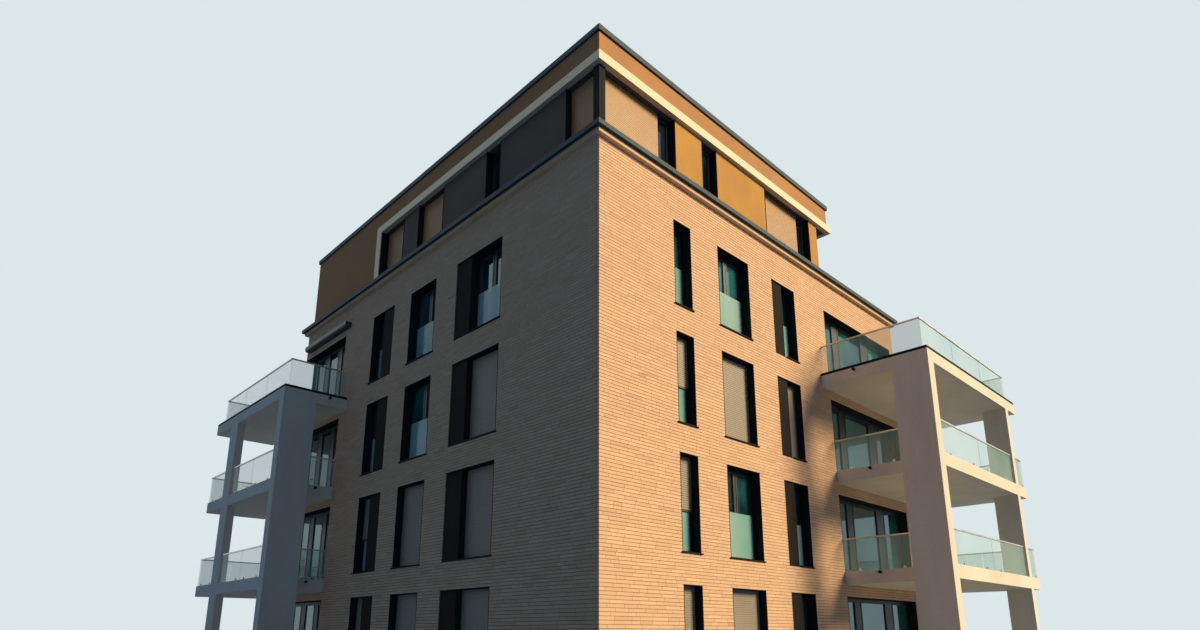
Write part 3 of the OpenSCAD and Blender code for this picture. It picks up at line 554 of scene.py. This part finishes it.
class BLOCK_OT_shutters(bpy.types.Operator):
    """Hangs the slatted curtains of the roller shutters"""
    bl_idname = "block.shutters"
    bl_label = "Hang the shutters"

    def execute(self, context):
        props = context.scene.block_openings
        # Roll-formed aluminium slats, coil coated: satin, grey-beige below and apricot above
        slats = mottled("grey_beige_slats", shaded(props.slats, 0.88), props.slats, 500, 40, 0.2,
                        (0.45, 0.6))
        roof_slats = mottled("apricot_slats", shaded(props.roof_slats, 0.9), props.roof_slats,
                             500, 40, 0.2, (0.45, 0.6))
        # Extruded end bars with a rubber lip: dark satin grey
        bar_metal = mottled("extruded_end_bars", linear("#2A2B2D"), linear("#3A3A3B"), 300, 20, 0.2,
                            (0.4, 0.55), metal=0.3)
        bars = bmesh.new()
        for name, node, finish in (("shutter_slats", "roller_shutters", slats),
                                   ("rear_shutter_slats", "rear_roller_shutters", slats),
                                   ("roof_shutter_slats", "roof_shutters", roof_slats)):
            bm = bmesh.new()
            rounded = []
            for lo, hi in solids(node):
                thin, _, outward = facing(lo, hi)
                outer, inner = (hi[thin], lo[thin]) if outward > 0 else (lo[thin], hi[thin])
                split = inner - (inner - outer) * BACK_SHARE
                a, b = lo.copy(), hi.copy()
                a[thin], b[thin] = sorted((outer + outward * BAR_PROUD, inner))
                b.z = lo.z = lo.z + props.bar
                soften(bars, BAR_ROUND, {e for v in add_block(bars, a, b) for e in v.link_edges})
                a, b = lo.copy(), hi.copy()
                a[thin], b[thin] = sorted((inner, split))
                add_block(bm, a, b)
                count = round((hi.z - lo.z) / props.pitch)
                rise = (hi.z - lo.z) / count
                for i in range(count):
                    a, b = lo.copy(), hi.copy()
                    a[thin], b[thin] = sorted((outer, split))
                    a.z = lo.z + i * rise + SLAT_HALF_GAP
                    b.z = lo.z + (i + 1) * rise - SLAT_HALF_GAP
                    for edge in {e for v in add_block(bm, a, b) for e in v.link_edges}:
                        p, q = (v.co for v in edge.verts)
                        outside = abs(p[thin] - outer) < TOUCH and abs(q[thin] - outer) < TOUCH
                        if outside and abs(p.z - q.z) < TOUCH:
                            rounded.append(edge)
            soften(bm, SLAT_ROUND, rounded, segments=2)
            make_piece(name, bm, finish, "shutter", node)
        make_piece("shutter_end_bars", bars, bar_metal, "dark_metal")
        return {"FINISHED"}


class BLOCK_OT_roof_storey(bpy.types.Operator):
    """Finishes the roof storey's render, band, metal edges and flat roofs"""
    bl_idname = "block.roof_storey"
    bl_label = "Finish the roof storey"

    def execute(self, context):
        props = context.scene.block_walls
        # Mineral render, felted: 2 mm grain drawn at 30 mm so that it shows
        dress(mottled("felted_render", linear("#A0754C"), linear("#B48659"), 1500, 30, 3, (0.85, 0.95),
                      tall=2), "roof_fascia", "roof_side_cheek", "roof_storey_base")
        # The same render in two copies: ochre on the front as painted sunlight, and slate on the other
        # sides as painted shade
        dress(mottled("ochre_render_painted_sunlit", linear("#A57938"), linear("#BF9149"), 700, 30, 3, (0.8, 0.95),
                      tall=2), "roof_storey_front_wall")
        slate = mottled("render_painted_shade", linear("#3A3734"), linear("#45413D"), 900, 30, 3, (0.8, 0.95),
                        tall=2)
        dress(slate, "roof_storey_left_wall", "roof_storey_back_wall", "roof_storey_right_wall")
        # Edge profile of aluminium sheet, powder coated: matt cream
        dress(mottled("cream_coated_profile", linear("#C7BDA9"), linear("#D0C7B5"), 1200, 40, 0.3,
                      (0.75, 0.85), metal=0.5), "cream_band")
        # Aluminium sheet, folded and powder coated: satin blue-black, the blue a painted reflection of
        # the sky
        sheet = mottled("coated_coping_sheet", linear("#1C2F3B"), linear("#283D4A"), 600, 40, 0.3,
                        (0.5, 0.65), tall=3, ior=1.3)
        dress(sheet, "parapet_coping", "roof_coping")
        # Cast stone, fine-ground: near the bricks' colour, a little lighter
        dress(mottled("cast_stone", linear("#C9AA88"), linear("#DABB99"), 700, 25, 1, (0.8, 0.95)),
              "cornice_strip")
        # Bitumen sheet with slate chips: speckled grey
        bitumen = mottled("chipped_bitumen", linear("#4F4C48"), linear("#69655E"), 900, 12, 2,
                          (0.85, 0.95))
        dress(bitumen, "roof_deck")
        # Fibre cement soffit boards: dark grey as painted shade under the overhang
        dress(mottled("soffit_painted_shade", linear("#3A3734"), linear("#494541"), 900, 30, 0.5, (0.7, 0.85)),
              "roof_slab")
        bm = bmesh.new()
        lo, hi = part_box("roof_deck")
        for at in inner_marks(lo[1], hi[1], props.lap):
            add_block(bm, (lo[0] + LAP_INSET, at - LAP_HALF_WIDTH, hi[2] - LAP_SINK),
                      (hi[0] - LAP_INSET, at + LAP_HALF_WIDTH, hi[2] + LAP_RISE))
        soften(bm, LAP_ROUND)
        make_piece("roofing_laps", bm, bitumen, "roofing")
        bm = bmesh.new()
        for name in ("parapet_coping", "roof_coping"):
            lo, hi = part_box(name)
            for thin, wide in ((0, 1), (1, 0)):
                for at in inner_marks(lo[wide], hi[wide], COPING_LENGTH, least=2):
                    for edge, way in ((lo[thin], 1), (hi[thin], -1)):
                        # A strip down the outer face, then one across the top
                        for bottom, reach in ((lo.z, COVER_LIP), (hi.z, COVER_REACH)):
                            a = Vector((0, 0, bottom - COVER_DROP))
                            b = Vector((0, 0, hi.z + COVER_PROUD))
                            a[wide], b[wide] = at - COVER_HALF_WIDTH, at + COVER_HALF_WIDTH
                            a[thin], b[thin] = sorted((edge - way * COVER_PROUD, edge + way * reach))
                            add_block(bm, a, b)
        make_piece("coping_seam_covers", bm, sheet, "zinc")
        return {"FINISHED"}


class BLOCK_OT_towers(bpy.types.Operator):
    """Finishes the balcony towers, their rails, clamps and pavers"""
    bl_idname = "block.towers"
    bl_label = "Finish the towers"

    def execute(self, context):
        props = context.scene.block_towers
        # Fair-faced concrete, painted: warm light grey with soft streaks
        paint = mottled("painted_concrete", linear("#CCC6BB"), linear("#DED9CE"), 1100, 40, 0.8,
                        (0.7, 0.85), tall=4)
        dress(paint, "front_balcony_piers", "front_balcony_slabs", "left_balcony_piers",
              "left_balcony_slabs")
        # Cast concrete, shuttered: plain mid grey
        dress(mottled("cast_concrete", linear("#8E8C86"), linear("#A6A49D"), 800, 25, 1, (0.8, 0.95)),
              "ground_slab", "floor_slabs")
        # Anodised aluminium tube: satin silver
        silver = mottled("anodised_aluminium", linear("#B9B7B1"), linear("#CFCDC8"), 400, 15, 0.1,
                         (0.25, 0.4), metal=0.9)
        dress(silver, "balcony_handrails")
        # Laminated safety glass: clear with a green cast, a little dusty
        dress(flat_glass("laminated_rail_glass", props.rail, props.dusty, 1400, 0.24, 1.52,
                         linear("#E8F6F2")), "balcony_glass")
        # Pressed concrete pavers: speckled grey
        paving = mottled("pressed_pavers", linear("#827E77"), linear("#9A968E"), 700, 14, 1,
                         (0.8, 0.95))
        dress(paving, "terrace_paving")
        # Aluminium sheet, rounded and powder coated: smooth dark grey
        dress(mottled("coated_awning_case", linear("#2A2E32"), linear("#383D41"), 400, 25, 0.2,
                      (0.3, 0.45), metal=0.3), "awning_case")
        bm = bmesh.new()
        for lo, hi in solids("balcony_glass"):
            thin, wide, _ = facing(lo, hi)
            for share in CLAMP_PLACES:
                at = lo[wide] + (hi[wide] - lo[wide]) * share
                a, b = lo.copy(), hi.copy()
                a[wide], b[wide] = at - CLAMP_HALF_WIDTH, at + CLAMP_HALF_WIDTH
                a[thin], b[thin] = lo[thin] - CLAMP_PROUD, hi[thin] + CLAMP_PROUD
                b.z = lo.z + CLAMP_HEIGHT
                add_block(bm, a, b)
        soften(bm, CLAMP_ROUND)
        make_piece("rail_clamps", bm, silver, "handrail")
        # Drip strips under the slabs' outer edges, in the slabs' own paint
        bm = bmesh.new()
        outer, inner = DRIP_EDGES
        for name, thin, wide in (("front_balcony_slabs", 1, 0), ("left_balcony_slabs", 0, 1)):
            for lo, hi in solids(name):
                a, b = Vector((0, 0, lo.z - DRIP_DROP)), Vector((0, 0, lo.z + DRIP_SINK))
                a[thin], b[thin] = lo[thin] + outer, lo[thin] + inner
                a[wide], b[wide] = lo[wide] + outer, hi[wide] - outer
                add_block(bm, a, b)
        soften(bm, DRIP_ROUND)
        make_piece("slab_drip_strips", bm, paint, "balcony_concrete")
        bm = bmesh.new()
        gap = PAVER_HALF_GAP
        for lo, hi in solids("terrace_paving"):
            counts = [max(1, round((hi[i] - lo[i]) / props.paver)) for i in (0, 1)]
            wide, long = [(hi[i] - lo[i]) / counts[i] for i in (0, 1)]
            for i in range(counts[0]):
                for j in range(counts[1]):
                    add_block(bm, (lo.x + i * wide + gap, lo.y + j * long + gap, hi.z - PAVER_SINK),
                              (lo.x + (i + 1) * wide - gap, lo.y + (j + 1) * long - gap,
                               hi.z + PAVER_RISE))
        soften(bm, PAVER_ROUND)
        make_piece("terrace_pavers", bm, paving, "paving")
        return {"FINISHED"}


class BLOCK_OT_stage(bpy.types.Operator):
    """Sets up the pale floor, the soft light and the camera"""
    bl_idname = "block.stage"
    bl_label = "Set the stage"

    def execute(self, context):
        props = context.scene.block_stage
        scene = context.scene
        bm = bmesh.new()
        bmesh.ops.create_circle(bm, cap_ends=True, radius=FLOOR_RADIUS, segments=FLOOR_SIDES)
        mesh = bpy.data.meshes.new("studio_floor")
        bm.to_mesh(mesh)
        bm.free()
        # Matt painted board: pale to the eye, and darker to the light that it throws up at the walls
        board, tree, shader, _ = start_material("studio_floor")
        seen = add(tree, "ShaderNodeLightPath").outputs["Is Camera Ray"]
        shade = add(tree, "ShaderNodeMix", {0: seen, 6: props.bounce, 7: props.floor}, data_type="RGBA")
        tree.links.new(shade.outputs[2], shader.inputs["Base Color"])
        shader.inputs["Roughness"].default_value = 0.9
        mesh.materials.append(board)
        floor = bpy.data.objects.new("studio_floor", mesh)
        scene.collection.objects.link(floor)

        world = bpy.data.worlds.new("soft_studio")
        world.use_nodes = True
        tree = world.node_tree
        tree.nodes.clear()
        # The eye, metal and glass see a pale surround, and the other rays bring the cool fill
        rays = add(tree, "ShaderNodeLightPath").outputs
        seen = add(tree, "ShaderNodeMath", {0: rays["Is Camera Ray"], 1: rays["Is Glossy Ray"]},
                   operation="MAXIMUM")
        seen = add(tree, "ShaderNodeMath", {0: seen.outputs[0], 1: rays["Is Transmission Ray"]},
                   operation="MAXIMUM")
        light = add(tree, "ShaderNodeBackground", {"Color": linear("#8ABAFA"), "Strength": props.fill})
        pale = add(tree, "ShaderNodeBackground", {"Color": linear("#DCE7EA"), "Strength": 1.0})
        mix = add(tree, "ShaderNodeMixShader", {0: seen.outputs[0], 1: light.outputs[0],
                                                2: pale.outputs[0]})
        add(tree, "ShaderNodeOutputWorld", {"Surface": mix.outputs[0]})
        scene.world = world

        for name, energy, colour, way in (
                ("key_light", props.key, "#FFE2B0", KEY_WAY),
                ("back_light", props.back, "#FFF6EA", BACK_WAY)):
            lamp = bpy.data.objects.new(name, bpy.data.lights.new(name, "SUN"))
            lamp.data.energy = energy
            lamp.data.color = linear(colour)[:3]
            lamp.data.angle = LIGHT_ANGLE
            lamp.rotation_euler = Vector(way).to_track_quat("Z", "Y").to_euler()
            scene.collection.objects.link(lamp)

        camera = bpy.data.objects.new("camera", bpy.data.cameras.new("camera"))
        camera.data.sensor_width = SENSOR_WIDTH
        camera.data.lens = props.lens
        camera.data.shift_y = props.shift
        camera.data.clip_end = VIEW_END
        camera.location = props.place
        camera.rotation_euler = (math.pi / 2 + props.pitch, 0, props.turn)
        scene.collection.objects.link(camera)
        scene.camera = camera
        scene.view_settings.view_transform = "Standard"
        return {"FINISHED"}


class BLOCK_PT_panel(bpy.types.Panel):
    """Lists the finishing steps"""
    bl_idname = "BLOCK_PT_panel"
    bl_label = "Apartment block"
    bl_space_type = "VIEW_3D"
    bl_region_type = "UI"
    bl_category = "Block"

    def draw(self, context):
        for step in STEPS:
            self.layout.operator(step.bl_idname)
        for name, group in GROUPS.items():
            box = self.layout.box()
            for prop in group.__annotations__:
                box.prop(getattr(context.scene, name), prop)


GROUPS = {"block_walls": WallProperties, "block_openings": OpeningProperties,
          "block_towers": TowerProperties, "block_stage": StageProperties}
STEPS = (BLOCK_OT_bricks, BLOCK_OT_windows, BLOCK_OT_shutters, BLOCK_OT_roof_storey, BLOCK_OT_towers,
         BLOCK_OT_stage)


def register():
    for group in GROUPS.values():
        bpy.utils.register_class(group)
    for cls in (*STEPS, BLOCK_PT_panel):
        bpy.utils.register_class(cls)
    for name, group in GROUPS.items():
        setattr(bpy.types.Scene, name, bpy.props.PointerProperty(type=group))


def unregister():
    for name in GROUPS:
        delattr(bpy.types.Scene, name)
    for cls in (BLOCK_PT_panel, *reversed(STEPS), *GROUPS.values()):
        bpy.utils.unregister_class(cls)


def main():
    register()
    bpy.ops.block.bricks()
    bpy.ops.block.windows()
    bpy.ops.block.shutters()
    bpy.ops.block.roof_storey()
    bpy.ops.block.towers()
    bpy.ops.block.stage()


if __name__ == "__main__":
    main()
